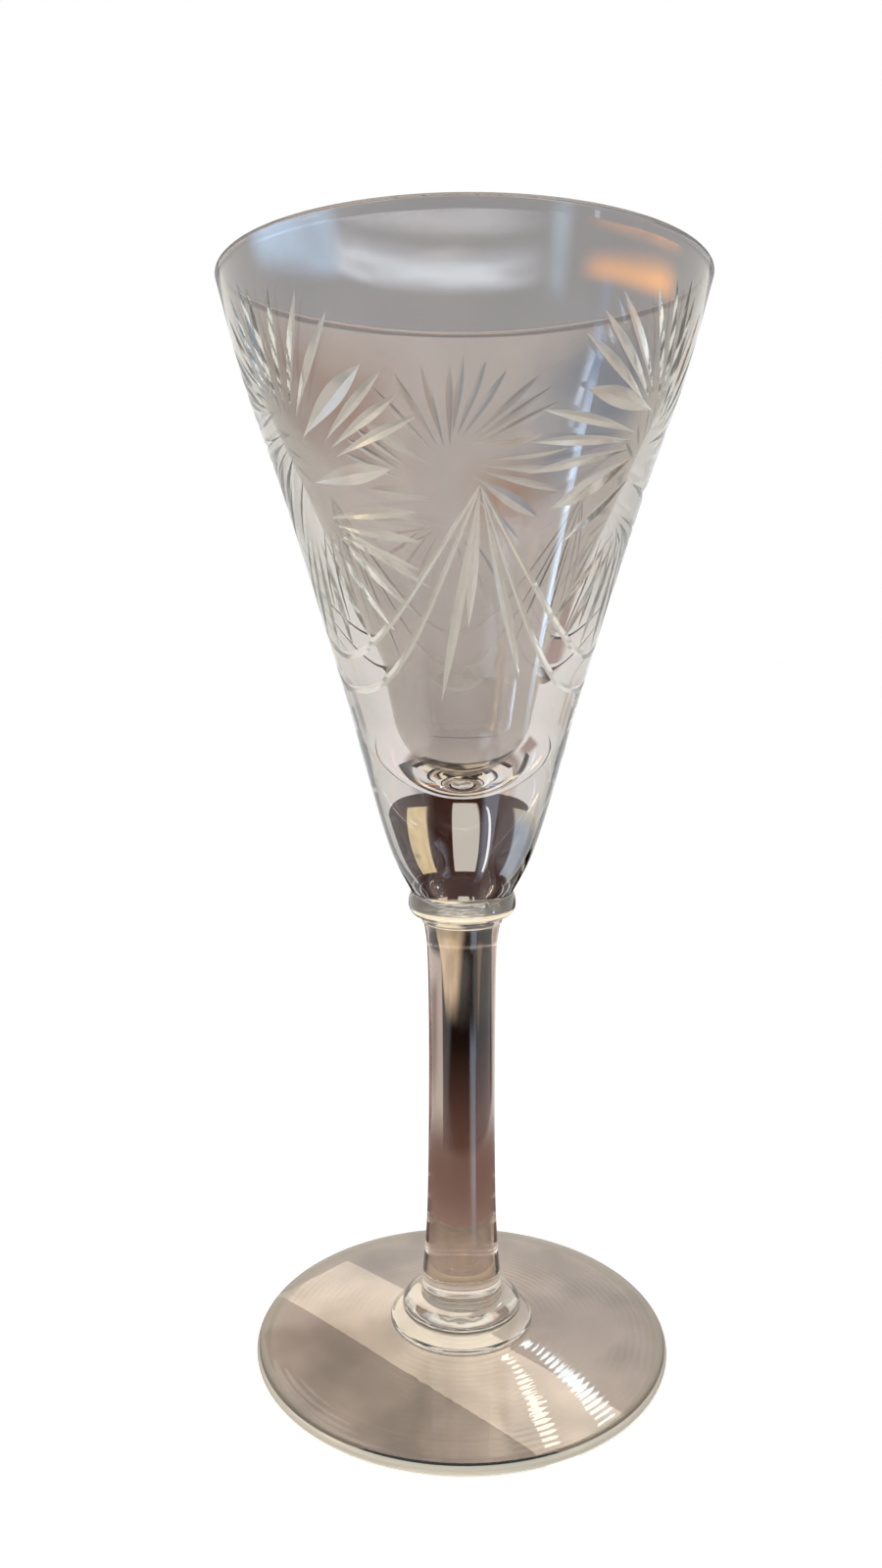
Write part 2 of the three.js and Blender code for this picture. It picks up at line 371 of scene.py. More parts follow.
def spline(knots: Array, steps: int) -> Array:
    """A centripetal Catmull-Rom curve: each span blends its four nearest knots, with knot
    times that grow by the square root of the distance between knots.

    Args:
        knots: Rows of (radius, height) in mm.
        steps: Number of steps in each span.

    Returns:
        Rows of (radius, height), the first and last being the end knots.
    """
    first, last = 2 * knots[0] - knots[1], 2 * knots[-1] - knots[-2]
    points = np.vstack([first, knots, last])
    gaps = np.sqrt(np.linalg.norm(np.diff(points, axis=0), axis=1))
    times = np.concatenate([[0.0], np.cumsum(gaps)])
    spans = []
    for i in range(len(knots) - 1):
        p, t = points[i:i + 4], times[i:i + 4]
        x = np.linspace(t[1], t[2], steps, endpoint=False)[:, None]
        a = [((t[k + 1] - x) * p[k] + (x - t[k]) * p[k + 1]) / (t[k + 1] - t[k])
             for k in range(3)]
        b = [((t[k + 2] - x) * a[k] + (x - t[k]) * a[k + 1]) / (t[k + 2] - t[k])
             for k in range(2)]
        spans.append(((t[2] - x) * b[0] + (x - t[1]) * b[1]) / (t[2] - t[1]))
    return np.vstack([*spans, knots[-1:]])


def line(start: Place, end: Place, steps: int) -> Array:
    """A straight run of profile points, both ends included."""
    return np.linspace(start, end, steps + 1)


def fused_ends(side: Array) -> tuple[Array, Array]:
    """Closes a side profile with a flat face at each end, where the piece is fused to its
    neighbours. The ends move in by the seam, so that two pieces never share a face.

    Args:
        side: Rows of (radius, height) in mm from the lower end to the upper one.

    Returns:
        The closed profile and the finish of each of its bands.
    """
    side[0, 1] += SEAM
    side[-1, 1] -= SEAM
    profile = np.vstack([line((0, side[0, 1]), side[0], 3)[:-1], side,
                         line(side[-1], (0, side[-1, 1]), 3)[1:]])
    finish = np.full(len(profile) - 1, Surface.POLISHED.value)
    finish[:3] = finish[-3:] = Surface.FUSED.value
    return profile, finish


@dataclass
class Patch:
    """A part of a piece's surface: points in mm, triangles or quads, and their finish."""

    points: Array
    faces: list
    finish: Array


def revolve(profile: Array, finish: Array, segments: int) -> Patch:
    """Turns a profile round +Z: each row (r, z) becomes a ring (r sin a, -r cos a, z).

    Args:
        profile: Rows of (radius, height) in mm; a row on the axis becomes one pole.
        finish: The finish of the band between each row and the next.
        segments: Number of points in a ring.

    Returns:
        The patch, with rings on the axis kept as rings, which merging closes.
    """
    angle = 2 * np.pi * np.arange(segments) / segments - np.pi
    radius, height = profile[:, :1], profile[:, 1:]
    points = np.stack([radius * np.sin(angle), -radius * np.cos(angle),
                       np.broadcast_to(height, (len(profile), segments))], -1)
    row = np.arange(len(profile) - 1)[:, None] * segments
    near, far = np.arange(segments)[None, :], (np.arange(segments)[None, :] + 1) % segments
    quads = np.stack([row + near, row + far, row + far + segments, row + near + segments], -1)
    return Patch(points.reshape(-1, 3), quads.reshape(-1, 4).tolist(),
                 np.repeat(finish, segments))


def mesh_values(items: bpy.types.bpy_prop_collection, name: str, kind: type) -> Array:
    """Reads a value of each item of a mesh.

    Args:
        items: The mesh's vertices, corners or faces.
        name: The value's name.
        kind: Type of the numbers; three for each item where they are float32, else one.

    Returns:
        The numbers in a flat array.
    """
    values = np.empty(len(items) * (3 if kind is np.float32 else 1), kind)
    items.foreach_get(name, values)
    return values


@dataclass
class GlassPiece:
    """A gather of glass: one closed mesh on the root body, in place of its solid."""

    node: ClassVar[str]
    slot: ClassVar[str]
    sharp_degrees: ClassVar[float] = 40.0
    segments: ClassVar[int] = 128
    merge_within: ClassVar[float] = 0.003
    shortest_edge: ClassVar[float] = 0.0005

    def patches(self) -> list[Patch]:
        """The parts of the piece's surface, whose edges meet point to point."""
        raise NotImplementedError

    def build(self, finishes: list[Material]) -> Object:
        """Joins the patches, closes seams and poles, and turns the faces outwards.

        Args:
            finishes: The polished glass, the fused one and, where there is any, the cut one or
            the foot's milky edge.

        Returns:
            The piece's object, riding on the root body in place of its solid.
        """
        patches = self.patches()
        offsets = np.cumsum([0] + [len(p.points) for p in patches[:-1]])
        faces = [[int(v) + int(o) for v in f] for p, o in zip(patches, offsets) for f in p.faces]
        mesh = bpy.data.meshes.new(self.node)
        mesh.from_pydata((np.vstack([p.points for p in patches]) * MM).tolist(), [], faces)
        mesh.polygons.foreach_set(
            "material_index", np.concatenate([p.finish for p in patches]).astype(np.int32))
        work = bmesh.new()
        work.from_mesh(mesh)
        bmesh.ops.remove_doubles(work, verts=work.verts, dist=self.merge_within * MM)
        bmesh.ops.dissolve_degenerate(work, edges=work.edges, dist=self.shortest_edge * MM)
        bmesh.ops.recalc_face_normals(work, faces=work.faces)
        open_edges = sum(1 for edge in work.edges if len(edge.link_faces) != 2)
        work.to_mesh(mesh)
        work.free()
        for material in finishes:
            mesh.materials.append(material)
        mesh.shade_smooth()
        mesh.set_sharp_from_angle(angle=math.radians(self.sharp_degrees))
        piece = bpy.data.objects.new(f"{self.node}_fine", mesh)
        bpy.context.scene.collection.objects.link(piece)
        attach(piece, "root")
        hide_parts(self.node)
        LOG.info("%s: %d faces, %d open edges", piece.name, len(mesh.polygons), open_edges)
        return piece


@dataclass
class Foot(GlassPiece):
    """The round foot: a thin disc that swells to the middle, hollowed underneath."""

    node = "foot"
    slot = "foot_glass"
    sharp_degrees = 35.0
    segments = 160
    radius: float = 35.9
    edge: float = 2.2
    crown: float = 4.0
    rest_width: float = 6.0
    rest_inset: float = 2.4
    hollow: float = 0.8
    hollow_power: float = 2.4
    shoulder_drop: float = 0.2
    shoulder_radius: float = 14.0
    knop_seat: float = 11.8
    knop_radius: float = 12.5

    def patches(self) -> list[Patch]:
        """The hollow, rest ring, rounded edge, sloping top and fused seat. The hollow's
        height is hollow (1 - share of its radius ^ hollow_power).

        Returns:
            The whole surface as one patch.
        """
        outer = self.radius - self.rest_inset
        inner = outer - self.rest_width
        half, seat = self.edge / 2, self.crown - SEAM
        dome = np.linspace(0.0, 1.0, 15)
        under = np.stack([inner * dome, self.hollow * (1 - dome ** self.hollow_power)], -1)
        edge = arc(self.radius - half, half, half, half, -72, 72, 12)
        shoulder = (self.shoulder_radius, self.crown - self.shoulder_drop)
        profile = np.vstack([under, line((inner, 0), (outer, 0), 4)[1:], edge,
                             line(edge[-1], shoulder, 22)[1:],
                             line(shoulder, (self.knop_radius, seat), 3)[1:],
                             line((self.knop_seat, seat), (0, seat), 4)])
        finish = np.full(len(profile) - 1, Surface.POLISHED.value)
        finish[-4:] = Surface.FUSED.value
        # The rounded edge takes the third finish: a mostly matte cream, partly dirt's scatter
        # and partly painted light that keeps the edge pale.
        start = len(under) + 3
        finish[start:start + len(edge) - 2] = Surface.WHEEL_CUT.value
        return [revolve(profile, finish, self.segments)]


@dataclass
class Knop(GlassPiece):
    """The stepped knop: a low flat ring with a rounded bulge on it."""

    node = "foot_knop"
    slot = "knop_glass"
    base: float = 4.0
    ring_radius: float = 12.5
    ring_height: float = 1.4
    bulge_radius: float = 10.4
    bulge_height: float = 3.6
    stem_radius: float = 7.1

    def patches(self) -> list[Patch]:
        """The knop between its two fused end faces.

        Returns:
            The whole surface as one patch.
        """
        ring, bulge = self.ring_height / 2, self.bulge_height / 2
        low = arc(self.ring_radius - ring, self.base + ring, ring, ring, -90, 90, 14)
        high = arc(self.stem_radius, self.base + self.ring_height + bulge,
                   self.bulge_radius - self.stem_radius, bulge, -60, 90, 18)
        return [revolve(*fused_ends(np.vstack([low, high])), self.segments)]


@dataclass
class Stem(GlassPiece):
    """The drawn stem, which flares a little at both ends."""

    node = "stem"
    slot = "stem_glass"
    base: float = 9.0
    length: float = 66.7
    radius: float = 6.0
    foot_radius: float = 7.1
    head_radius: float = 6.5
    foot_flare: float = 16.0
    head_flare: float = 4.0

    def patches(self) -> list[Patch]:
        """The stem between its two fused end faces.

        Returns:
            The whole surface as one patch.
        """
        knots = np.array([[self.foot_radius, 0.0], [self.radius, self.foot_flare],
                          [self.radius, self.length - self.head_flare],
                          [self.head_radius, self.length]])
        rod = spline(knots, 24) + (0.0, self.base)
        return [revolve(*fused_ends(rod), self.segments)]


@dataclass
class Collar(GlassPiece):
    """The collar: a small bead with a wide rounded ring on it."""

    node = "collar"
    slot = "collar_glass"
    base: float = 75.7
    bead_radius: float = 6.85
    bead_height: float = 1.2
    ring_radius: float = 9.1
    ring_height: float = 4.3
    stem_radius: float = 6.5
    neck_radius: float = 8.6

    def patches(self) -> list[Patch]:
        """The collar between its two fused end faces.

        Returns:
            The whole surface as one patch.
        """
        bead, ring = self.bead_height / 2, self.ring_height / 2
        middle = self.base + self.bead_height + ring
        low = arc(self.stem_radius, self.base + bead, self.bead_radius - self.stem_radius,
                  bead, -90, 60, 12)
        under = arc(self.bead_radius, middle, self.ring_radius - self.bead_radius, ring,
                    -80, 0, 16)
        over = arc(self.neck_radius, middle, self.ring_radius - self.neck_radius, ring,
                   6, 90, 12)
        return [revolve(*fused_ends(np.vstack([low, under, over])), self.segments)]


@dataclass
class Fan:
    """A fan of straight mitre cuts from a node: node is the node's height above the
    palm's centre, angles are in degrees from straight up and plus to the right, and root
    and tip are distances from the node along the wall."""

    node: float
    first: float
    step: float
    rays: int
    root: float
    tip: float
    width: float = 1.5
    slope: float = 0.4

    def strokes(self, azimuth: float, level: float) -> Array:
        """The fan's cuts.

        Args:
            azimuth: Degrees from -Y towards +X of its node.
            level: Level of the palm's centre.

        Returns:
            Rows of (azimuth, node level, angle, root, tip, width, slope), one for each ray.
        """
        angle = self.first + self.step * np.arange(self.rays)
        rest = np.array([self.root, self.tip, self.width, self.slope])
        return np.column_stack([np.full(self.rays, azimuth),
                                np.full(self.rays, level + self.node), angle,
                                np.tile(rest, (self.rays, 1))])


@dataclass
class Wall:
    """The bowl's outer wall, as radius for each level above the bowl's flat lower end."""

    knots: tuple[Place, ...] = (
        (8.6, 0.0), (11.9, 6.6), (20.2, 35.8), (29.6, 66.8), (35.1, 82.8), (39.1, 98.1))
    samples: Array = field(init=False)
    lean: float = 0.957

    def __post_init__(self) -> None:
        """Samples the curve once."""
        self.samples = spline(np.array(self.knots), 40)

    def radius(self, level: Array) -> Array:
        """Radius at each level, read off the sampled curve."""
        return np.interp(level, self.samples[:, 1], self.samples[:, 0])

    def slope(self, level: Array, step: float) -> Array:
        """Gain of radius for each mm of height, taken over a step down and a step up."""
        return (self.radius(level + step) - self.radius(level - step)) / (2 * step)

    def place(self, azimuth: Array, level: Array, depth: Array) -> Array:
        """Rolls places on the unrolled wall up: depth is measured square to the wall.

        Args:
            azimuth: Degrees from -Y towards +X.
            level: Level above the bowl's lower end in mm.
            depth: Depth below the wall in mm.

        Returns:
            Points in mm in the bowl's own levels.
        """
        angle, slope = np.radians(azimuth), self.slope(level, 0.25)
        across = depth / np.sqrt(1 + slope ** 2)
        radius = self.radius(level) - across
        return np.stack([radius * np.sin(angle), -radius * np.cos(angle),
                         level + slope * across], -1)


@dataclass
class CutPattern:
    """The wheel-cut pattern: palms, tassels and swags, three times round the bowl."""

    wall: Wall
    repeats: int = 3
    turn: float = 4.8
    palm_level: float = 68.6
    tassel_level: float = 63.6
    fans: tuple[Fan, ...] = (
        Fan(2.0, -1, 14.6, 4, 4.0, 22.6), Fan(4.5, -8.5, -12, 3, 4.0, 22.0),
        Fan(4.5, -47.6, -8.5, 3, 6.0, 25.0), Fan(3.2, -86, -10, 3, 6.0, 25.0),
        Fan(1.2, -134, -12, 1, 5.0, 20.5), Fan(-3.3, 57, 7.8, 3, 9.5, 25.0),
        Fan(-8.5, 90, 12.5, 3, 4.0, 20.0), Fan(-5.0, 128, 12, 8, 6.0, 24.0))
    leaves: tuple[Fan, ...] = (
        Fan(0.7, 60, 0, 1, 4.0, 21.0, 2.9, 0.3), Fan(-3.6, 87, 0, 1, 3.0, 18.0, 2.9, 0.3),
        Fan(6.8, -86, 0, 1, 3.0, 19.3, 2.9, 0.3), Fan(3.5, -123, 0, 1, 5.5, 22.0, 2.9, 0.3))
    tassel: tuple[Fan, ...] = (
        Fan(0.0, 166, 0, 1, 0.0, 29.5), Fan(0.0, 183, 0, 1, 0.0, 20.7),
        Fan(0.0, 188.5, 0, 1, 0.0, 32.5))
    fullness: float = 1.3
    swag_width: float = 1.2
    swag_slope: float = 0.4
    swag_fullness: float = 0.35
    swag_drops: tuple[float, float] = (23.8, 29.2)
    swag_powers: tuple[float, float] = (2.0, 2.6)
    swag_reach: tuple[float, float] = (-160.0, 220.0)
    outline_points: int = 27

    def strokes(self) -> Array:
        """All straight cuts round the bowl.

        Returns:
            One row for each cut, with copies past the seam.
        """
        rows = []
        for repeat in range(-2, self.repeats):
            azimuth = self.turn + repeat * 360.0 / self.repeats
            palm = azimuth + 180.0 / self.repeats
            rows += [f.strokes(palm, self.palm_level) for f in self.fans + self.leaves]
            rows += [f.strokes(azimuth, self.tassel_level) for f in self.tassel]
        return np.vstack(rows)

    def swag_level(self, azimuth: Array, swag: int) -> Array:
        """Level of a swag, which hangs from the tassels' points, lowest half way between."""
        rise = np.abs(1 - 2 * self.swag_share(azimuth)) ** self.swag_powers[swag]
        return self.tassel_level - self.swag_drops[swag] * (1 - rise)

    def swag_share(self, azimuth: Array) -> Array:
        """Share of the way from one tassel to the next."""
        return ((azimuth - self.turn) / (360.0 / self.repeats)) % 1.0

    def swag_half_width(self, azimuth: Array) -> Array:
        """Half-width of a swag, drawn in at the tassels."""
        across = np.sin(np.pi * self.swag_share(azimuth)).clip(0)
        return self.swag_width / 2 * across ** self.swag_fullness

    def swag_steepness(self, azimuth: Array, swag: int) -> Array:
        """Cosine of the angle at which a swag runs, from its rise over one degree.

        Args:
            azimuth: Degrees from -Y towards +X.
            swag: 0 for the upper swag, 1 for the lower.

        Returns:
            The cosine at each azimuth.
        """
        step = 0.5
        rise = (self.swag_level(azimuth + step, swag) - self.swag_level(azimuth - step, swag))
        run = np.radians(2 * step) * self.wall.radius(self.swag_level(azimuth, swag))
        return 1 / np.sqrt(1 + (rise / self.wall.lean / run) ** 2)

    def depth(self, azimuth: Array, level: Array) -> tuple[Array, Array]:
        """Depth of the pattern: the deepest of all cuts at each place, where a cut is a V
        of depth (half-width - distance from its middle line) times its slope.

        Args:
            azimuth: Degrees from -Y towards +X.
            level: Level above the bowl's lower end in mm.

        Returns:
            Depth below the wall in mm, 0 where nothing is cut, and the distance in mm from
            the nearest edge of a cut.
        """
        deepest = np.zeros(len(azimuth))
        edge = np.full(len(azimuth), np.inf)
        for around, node, angle, root, tip, width, slope in self.strokes():
            side = np.radians(azimuth - around) * self.wall.radius(level)
            up = (level - node) / self.wall.lean
            sine, cosine = math.sin(math.radians(angle)), math.cos(math.radians(angle))
            share = (side * sine + up * cosine - root) / (tip - root)
            away = np.abs(side * cosine - up * sine)
            half = width / 2 * np.sin(np.pi * share.clip(0, 1) ** self.fullness).clip(0)
            deepest = np.maximum(deepest, (half - away) * slope)
            ends = np.hypot(np.maximum(np.abs(share - 0.5) - 0.5, 0) * (tip - root), away)
            edge = np.minimum(edge, np.where((share < 0) | (share > 1), ends,
                                             np.abs(half - away)))
        for swag in range(len(self.swag_drops)):
            away = np.abs(level - self.swag_level(azimuth, swag)) / self.wall.lean
            away *= self.swag_steepness(azimuth, swag)
            half = self.swag_half_width(azimuth)
            deepest = np.maximum(deepest, (half - away) * self.swag_slope)
            edge = np.minimum(edge, np.abs(half - away))
        return deepest, edge

    def outlines(self) -> list[Array]:
        """The edges and middle lines of all cuts, past the seam on both sides.

        Returns:
            A path of (azimuth, level) rows for each.
        """
        lines = []
        share = np.linspace(0, 1, self.outline_points)
        for around, node, angle, root, tip, width, _ in self.strokes():
            sine, cosine = math.sin(math.radians(angle)), math.cos(math.radians(angle))
            half = width / 2 * np.sin(np.pi * share ** self.fullness).clip(0)
            reach = root + (tip - root) * share
            for hand in (-1, 0, 1):
                side = reach * sine + hand * half * cosine
                level = node + (reach * cosine - hand * half * sine) * self.wall.lean
                lines.append(np.stack([around + np.degrees(side / self.wall.radius(level)),
                                       level], -1))
        azimuth = self.turn + np.arange(*self.swag_reach)
        for swag in range(len(self.swag_drops)):
            middle = self.swag_level(azimuth, swag)
            lift = (self.swag_half_width(azimuth) * self.wall.lean
                    / self.swag_steepness(azimuth, swag))
            lines += [np.stack([azimuth, middle + hand * lift], -1) for hand in (-1, 0, 1)]
        return lines


@dataclass
class Bowl(GlassPiece):
    """The bowl: a cut cone-shaped wall over a thick solid base, hollow above it."""

    node = "bowl"
    slot = "bowl_glass"
    sharp_degrees = 11.0
    segments = 192
    pattern: CutPattern
    base: float = 81.2
    height: float = 98.8
    rim_radius: float = 39.1
    rim_wall: float = 1.4
    base_wall: float = 8.0
    wall_swell: float = 1.7
    floor_level: float = 17.8
    round_height: float = 17.0
    bend_rise: float = 3.0
    bend_angle: float = -14.0
    curved_low: float = 9.0
    cut_low: float = 30.0
    cut_high: float = 95.6
    seam_azimuth: float = -146.25
    unroll_radius: float = 28.0
    palm_radius: float = 29.6
    grid: float = 1.2
    grid_inset: float = 1.0
    fine_grid: float = 0.6
    fine_side: float = 8.0
    fine_below: float = 11.0
    fine_above: float = 9.0
    clear_of_sides: float = 0.8
    clear_of_cuts: float = 0.22
    least_cut: float = 0.004
    plain_above: float = 1.0
    on_wall: float = 0.02

    def cavity_radius(self, level: Array) -> Array:
        """Radius of the hollow: the wall's outer radius less a wall that thickens with the
        power wall_swell of the distance below the rim.

        Args:
            level: Level above the bowl's lower end in mm.

        Returns:
            The radius at each level.
        """
        join = self.floor_level + self.round_height
        below = ((self.height - level) / (self.height - join)).clip(0)
        wall = self.rim_wall + (self.base_wall - self.rim_wall) * below ** self.wall_swell
        return self.pattern.wall.radius(level) - wall

    def lower_patch(self) -> Patch:
        """The fused end face and the plain wall up to the cut zone.

        Returns:
            The patch.
        """
        levels = np.concatenate([np.linspace(0, self.curved_low, 19),
                                 np.linspace(self.curved_low + 1, self.cut_low, 17)])
        wall = np.stack([self.pattern.wall.radius(levels), levels], -1)
        wall[0, 1] = SEAM
        profile = np.vstack([line((0, SEAM), wall[0], 3)[:-1], wall])
        finish = np.full(len(profile) - 1, Surface.POLISHED.value)
        finish[:3] = Surface.FUSED.value
        return self.raised(revolve(profile, finish, self.segments))

    def upper_patch(self) -> Patch:
        """The plain wall above the cut zone, the rounded lip and the hollow, whose round
        bottom runs into the straight wall in a short curve.

        Returns:
            The patch.
        """
        lip = self.rim_wall / 2
        levels = np.linspace(self.cut_high, self.height - lip, 5)
        wall = np.stack([self.pattern.wall.radius(levels), levels], -1)
        rim = arc(self.rim_radius - lip, self.height - lip, lip, lip, 0, 180, 16)[1:]
        join = self.floor_level + self.round_height
        down = np.linspace(self.height - lip, join + self.bend_rise, 60)[1:]
        inside = np.stack([self.cavity_radius(down), down], -1)
        bottom = arc(0, join, float(self.cavity_radius(np.array(join))), self.round_height,
                     self.bend_angle, -90, 30)
        steps = 6
        bend = spline(np.vstack([inside[-3:], bottom[:3]]), steps)[2 * steps:-2 * steps]
        profile = np.vstack([wall, rim, inside[:-1], bend, bottom[1:]])
        finish = np.full(len(profile) - 1, Surface.POLISHED.value)
        return self.raised(revolve(profile, finish, self.segments))

    def raised(self, patch: Patch) -> Patch:
        """Lifts a patch from the bowl's own levels to its place."""
        patch.points = patch.points + (0.0, 0.0, self.base)
        return patch

    def cut_patch(self) -> Patch:
        """The cut zone: the unrolled wall is triangulated with the cuts' edges and middle
        lines as creases, sunk by the pattern's depth and rolled up again.

        Returns:
            The patch.
        """
        scale = self.unroll_radius * math.pi / 180
        left, right = self.seam_azimuth, self.seam_azimuth + 360.0
        ring = np.linspace(left, right, self.segments + 1)
        side = np.linspace(self.cut_low, self.cut_high, 52)
        border = [np.stack([ring, np.full_like(ring, level)], -1)
                  for level in (self.cut_low, self.cut_high)]
        border += [np.stack([np.full_like(side, azimuth), side], -1)
                   for azimuth in (left, right)]
        lines = border + [path for path in self.pattern.outlines()
                          if path[:, 0].max() > left - 1 and path[:, 0].min() < right + 1]
        counts = [len(path) for path in lines]
        starts = np.cumsum([0] + counts[:-1])
        edges = np.concatenate([np.stack([np.arange(n - 1), np.arange(1, n)], -1) + s
                                for n, s in zip(counts, starts)])
        loose = self.loose_points(left, right)
        flat = np.vstack([*lines, loose]) * (scale, 1.0)
        found = geometry.delaunay_2d_cdt(list(map(Vector, flat.tolist())), edges.tolist(),
                                         [], 0, 1e-4, False)
        unrolled = np.array([tuple(v) for v in found[0]]) / (scale, 1.0)
        triangles = np.array(found[2])
        middle = unrolled[triangles].mean(1)
        inside = ((middle[:, 0] > left) & (middle[:, 0] < right)
                  & (middle[:, 1] > self.cut_low) & (middle[:, 1] < self.cut_high))
        triangles, middle = triangles[inside], middle[inside]
        depth, _ = self.pattern.depth(unrolled[:, 0], unrolled[:, 1])
        sunk, _ = self.pattern.depth(middle[:, 0], middle[:, 1])
        used, index = np.unique(triangles, return_inverse=True)
        points = self.pattern.wall.place(unrolled[used, 0], unrolled[used, 1], depth[used])
        finish = np.where(sunk > self.least_cut, Surface.WHEEL_CUT.value, Surface.POLISHED.value)
        return self.raised(Patch(points, index.reshape(-1, 3).tolist(), finish))

    def loose_points(self, left: float, right: float) -> Array:
        """Points that fill the cut zone: a staggered grid, finer at the palms' nodes, kept
        clear of the zone's sides and the edges of the cuts.

        Args:
            left: Azimuth of the zone's first side in degrees.
            right: Azimuth of its last side.

        Returns:
            Rows of (azimuth, level).
        """
        columns = np.arange(left + self.grid_inset, right,
                            math.degrees(self.grid / self.unroll_radius))
        rows = np.arange(self.cut_low + self.grid_inset, self.cut_high - self.grid / 2,
                         self.grid)
        azimuth, level = np.meshgrid(columns, rows)
        azimuth = azimuth + (np.arange(len(rows)) % 2)[:, None] * self.grid
        grids = [np.stack([azimuth.ravel(), level.ravel()], -1)]
        across, up = np.meshgrid(np.arange(-self.fine_side, self.fine_side, self.fine_grid),
                                 np.arange(-self.fine_below, self.fine_above, self.fine_grid))
        for repeat in range(-2, self.pattern.repeats):
            palm = self.pattern.turn + (repeat + 0.5) * 360.0 / self.pattern.repeats
            grids.append(np.stack([palm + np.degrees(across.ravel() / self.palm_radius),
                                   self.pattern.palm_level + up.ravel()], -1))
        points = np.vstack(grids)
        points = points[(points[:, 0] > left + self.clear_of_sides)
                        & (points[:, 0] < right - self.clear_of_sides)]
        _, edge = self.pattern.depth(points[:, 0], points[:, 1])
        return points[edge > self.clear_of_cuts]

    def patches(self) -> list[Patch]:
        """The plain wall below the cuts, the cut zone, and all above it with the hollow."""
        return [self.lower_patch(), self.cut_patch(), self.upper_patch()]

    def build(self, finishes: list[Material]) -> Object:
        """Builds the bowl and gives the uncut wall the cone's own normals.

        Args:
            finishes: The polished, fused and cut glass.

        Returns:
            The bowl.
        """
        bowl = super().build(finishes)
        self.smooth_wall(bowl.data)
        return bowl

    def smooth_wall(self, mesh: Mesh) -> None:
        """Sets the normals of the uncut outer wall to those of the smooth cone, so that the
        small triangles between the cuts don't show; other normals stay as they are.

        Args:
            mesh: The bowl's mesh.
        """
        normals = mesh_values(mesh.corner_normals, "vector", np.float32).reshape(-1, 3)
        corner = mesh_values(mesh.loops, "vertex_index", np.int32)
        points = mesh_values(mesh.vertices, "co", np.float32).reshape(-1, 3)[corner]
        points = points / MM - (0.0, 0.0, self.base)
        finish = np.repeat(mesh_values(mesh.polygons, "material_index", np.int32),
                           mesh_values(mesh.polygons, "loop_total", np.int32))
        radius, level = np.hypot(points[:, 0], points[:, 1]), points[:, 2]
        wall = self.pattern.wall
        outer = ((finish == Surface.POLISHED.value) & (level > self.plain_above)
                 & (level < self.height - self.rim_wall)
                 & (np.abs(radius - wall.radius(level)) < self.on_wall))
        cone = np.stack([points[:, 0] / radius.clip(1e-6), points[:, 1] / radius.clip(1e-6),
                         -wall.slope(level, 0.5)], -1)
        cone /= np.linalg.norm(cone, axis=1, keepdims=True)
        mesh.normals_split_custom_set(np.where(outer[:, None], cone, normals).tolist())


def on_slope(*places: Place, lift: float = -0.2) -> tuple[Corner, ...]:
    """Corners in mm on the plane that falls away behind the bowl's base, raised by lift."""
    front, height = SLOPE_FRONT
    return tuple((x, y, height - SLOPE_FALL * (y - front) + lift) for x, y in places)


def on_floor(*places: Place, level: float = 0.6) -> tuple[Corner, ...]:
    """Corners in mm just above the floor."""
    return tuple((x, y, level) for x, y in places)


def standing(y: float, *places: Place) -> tuple[Corner, ...]:
    """Corners in mm of an upright card square to Y, from their x and z."""
    return tuple((x, y, z) for x, z in places)


def upright(y: float, sides: Place, levels: Place) -> tuple[Corner, ...]:
    """Corners in mm of an upright rectangle square to Y, from its sides' x and its levels."""
    (left, right), (low, high) = sides, levels
    return standing(y, (left, low), (right, low), (right, high), (left, high))


@dataclass(frozen=True)
class Card:
    """A glowing studio card of four corners in mm, which is no lamp: it paints reflections into
    the glass and, where it is dark, painted shade. It shows in gloss and through glass, and
    not to the camera. Its colour may start as another one at its first side and reach its own
    over fade of the way to the third side. It thins out towards its edges over soft of its
    first and second sides, and clouds leave it patchy."""

    name: str
    corners: tuple[Corner, ...]
    colour: str
    strength: float = 1.0
    start_colour: str = ""
    fade: float = 1.0
    soft: Place = (0.001, 0.001)
    clouds: float = 0.0


@dataclass(frozen=True)
class RingCard:
    """A glowing card turned round the goblet's axis, which paints shade into the glass:
    (radius, height) of its two rims in mm, its first and last colour, the radii between which
    they blend, and the radius from which it thins out to its outer rim."""

    name: str
    rims: tuple[Place, Place]
    colours: tuple[str, str]
    blend: Place
    thins_from: float = 1000.0


@dataclass(frozen=True)
class PaperStrip:
    """A strip of white paper on the floor that glows brighter than the floor, painted light:
    it passes under the foot and shows through its glass as a pale band, also in the foot's
    shadow: middle of one end in metres, heading in degrees from +X, length and width."""

    name: str = "glowing_paper_strip"
    start: Place = (-0.0282, 0.0170)
    heading: float = -43.0
    length: float = 0.066
    width: float = 0.0168
    level: float = -0.0001
    colour: str = "#FFFFFA"
    # Painted light: its glow, stronger than the floor's lift, makes the pale band in the foot.
    strength: float = 1.14

    def corners(self) -> list[Corner]:
        """The four corners: the middle line's ends, each moved half a width aside.

        Returns:
            The corners in metres.
        """
        angle = math.radians(self.heading)
        ahead = np.array([math.cos(angle), math.sin(angle)])
        aside = np.array([-ahead[1], ahead[0]]) * self.width / 2
        first = np.array(self.start)
        last = first + ahead * self.length
        ring = (first - aside, last - aside, last + aside, first + aside)
        return [(float(x), float(y), self.level) for x, y in ring]


@dataclass(frozen=True)
class SoftBox:
    """A soft lamp: place, size in metres, brightness of its face, colour, roll in degrees
    about the line to the goblet, and whether it shows in gloss."""

    name: str
    place: Corner
    width: float
    height: float
    radiance: float
    colour: str = "#FFFFFF"
    roll: float = 0.0
    in_gloss: bool = True


